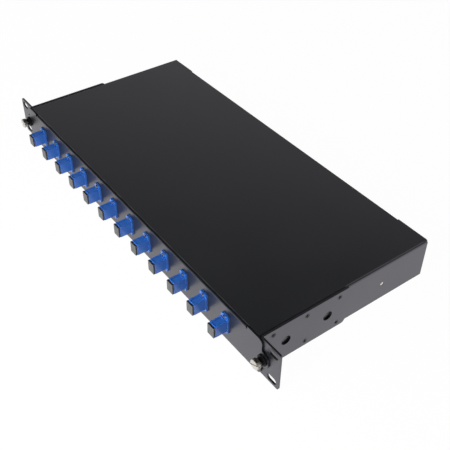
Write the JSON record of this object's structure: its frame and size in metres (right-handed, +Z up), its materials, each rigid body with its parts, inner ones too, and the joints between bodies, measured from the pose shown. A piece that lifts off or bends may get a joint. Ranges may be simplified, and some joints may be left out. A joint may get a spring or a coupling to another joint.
{
  "type": "fibre patch panel",
  "caption": "Rack-mount sliding fibre patch panel: folded steel housing on slotted ears, drawer with capped adapters and thumbscrews, splice cassette and fibre spools inside.",
  "frame": {"origin": "centre of the four ear slots, on the plane of the rack rails (rear faces of the ears)", "axes": "+X to the right seen from the front, +Y to the back of the rack, +Z up; the ports face -Y"},
  "size_m": [0.4826, 0.2207, 0.0436],
  "materials": {
    "housing_coat": "fine-textured black powder coat on folded sheet steel, satin",
    "drawer_coat": "fine-textured black powder coat on folded sheet steel, satin",
    "adapter_blue": "moulded blue plastic, slight sheen",
    "cap_grey": "moulded soft dark grey plastic, matt",
    "sleeve_bronze": "rolled phosphor bronze, bright",
    "screw_zinc": "zinc-plated steel with a pale yellow cast",
    "screw_black": "black oxide steel",
    "thumbscrew_nickel": "nickel-plated, turned face and knurled edge",
    "collar_black": "moulded black plastic",
    "slide_steel": "zinc-plated cold-rolled steel",
    "cassette_plastic": "moulded black plastic",
    "spool_plastic": "moulded black plastic",
    "clamp_nylon": "natural nylon",
    "grommet_rubber": "soft black rubber"
  },
  "bodies": {
    "housing": {"housing_cover": "housing_coat", "housing_base": "housing_coat", "bracket_left": "housing_coat", "bracket_right": "housing_coat", "bracket_screws": "screw_black", "clinch_nuts": "screw_zinc", "side_screws": "screw_zinc", "runner_left": "slide_steel", "runner_right": "slide_steel", "cable_grommets": "grommet_rubber", "entry_plugs": "grommet_rubber"},
    "tray": {"tray": "drawer_coat", "front_panel": "drawer_coat", "panel_nuts": "screw_zinc", "slide_rail_left": "slide_steel", "slide_rail_right": "slide_steel", "rail_rivets": "slide_steel", "adapter_01": "adapter_blue", "adapter_02": "adapter_blue", "adapter_03": "adapter_blue", "adapter_04": "adapter_blue", "adapter_05": "adapter_blue", "adapter_06": "adapter_blue", "adapter_07": "adapter_blue", "adapter_08": "adapter_blue", "adapter_09": "adapter_blue", "adapter_10": "adapter_blue", "adapter_11": "adapter_blue", "adapter_12": "adapter_blue", "split_sleeves": "sleeve_bronze", "rear_dust_caps": "cap_grey", "adapter_screws": "screw_zinc", "adapter_nuts": "screw_zinc", "collar_left": "collar_black", "collar_right": "collar_black", "splice_cassette": "cassette_plastic", "cassette_lid": "cassette_plastic", "cassette_posts": "cassette_plastic", "fibre_spool_left": "spool_plastic", "fibre_spool_right": "spool_plastic", "cable_clamps": "clamp_nylon", "clamp_screws": "screw_zinc"},
    "thumbscrew_left": {"thumbscrew_left": "thumbscrew_nickel"},
    "thumbscrew_right": {"thumbscrew_right": "thumbscrew_nickel"},
    "dust_cap_01": {"dust_cap_01": "cap_grey"},
    "dust_cap_02": {"dust_cap_02": "cap_grey"},
    "dust_cap_03": {"dust_cap_03": "cap_grey"},
    "dust_cap_04": {"dust_cap_04": "cap_grey"},
    "dust_cap_05": {"dust_cap_05": "cap_grey"},
    "dust_cap_06": {"dust_cap_06": "cap_grey"},
    "dust_cap_07": {"dust_cap_07": "cap_grey"},
    "dust_cap_08": {"dust_cap_08": "cap_grey"},
    "dust_cap_09": {"dust_cap_09": "cap_grey"},
    "dust_cap_10": {"dust_cap_10": "cap_grey"},
    "dust_cap_11": {"dust_cap_11": "cap_grey"},
    "dust_cap_12": {"dust_cap_12": "cap_grey"}
  },
  "joints": [
    {"name": "tray_slide", "type": "slide", "parent": "housing", "child": "tray", "axis": [0, -1, 0], "range_m": [0, 0.15]},
    {"name": "thumbscrew_left_turn", "type": "hinge", "parent": "tray", "child": "thumbscrew_left", "pos_m": [-0.222, -0.0109, 0], "axis": [0, -1, 0], "continuous": true},
    {"name": "thumbscrew_right_turn", "type": "hinge", "parent": "tray", "child": "thumbscrew_right", "pos_m": [0.222, -0.0109, 0], "axis": [0, -1, 0], "continuous": true},
    {"name": "dust_cap_01_pull", "type": "slide", "parent": "tray", "child": "dust_cap_01", "axis": [0, -1, 0], "range_m": [0, 0.015]},
    {"name": "dust_cap_02_pull", "type": "slide", "parent": "tray", "child": "dust_cap_02", "axis": [0, -1, 0], "range_m": [0, 0.015]},
    {"name": "dust_cap_03_pull", "type": "slide", "parent": "tray", "child": "dust_cap_03", "axis": [0, -1, 0], "range_m": [0, 0.015]},
    {"name": "dust_cap_04_pull", "type": "slide", "parent": "tray", "child": "dust_cap_04", "axis": [0, -1, 0], "range_m": [0, 0.015]},
    {"name": "dust_cap_05_pull", "type": "slide", "parent": "tray", "child": "dust_cap_05", "axis": [0, -1, 0], "range_m": [0, 0.015]},
    {"name": "dust_cap_06_pull", "type": "slide", "parent": "tray", "child": "dust_cap_06", "axis": [0, -1, 0], "range_m": [0, 0.015]},
    {"name": "dust_cap_07_pull", "type": "slide", "parent": "tray", "child": "dust_cap_07", "axis": [0, -1, 0], "range_m": [0, 0.015]},
    {"name": "dust_cap_08_pull", "type": "slide", "parent": "tray", "child": "dust_cap_08", "axis": [0, -1, 0], "range_m": [0, 0.015]},
    {"name": "dust_cap_09_pull", "type": "slide", "parent": "tray", "child": "dust_cap_09", "axis": [0, -1, 0], "range_m": [0, 0.015]},
    {"name": "dust_cap_10_pull", "type": "slide", "parent": "tray", "child": "dust_cap_10", "axis": [0, -1, 0], "range_m": [0, 0.015]},
    {"name": "dust_cap_11_pull", "type": "slide", "parent": "tray", "child": "dust_cap_11", "axis": [0, -1, 0], "range_m": [0, 0.015]},
    {"name": "dust_cap_12_pull", "type": "slide", "parent": "tray", "child": "dust_cap_12", "axis": [0, -1, 0], "range_m": [0, 0.015]}
  ]
}
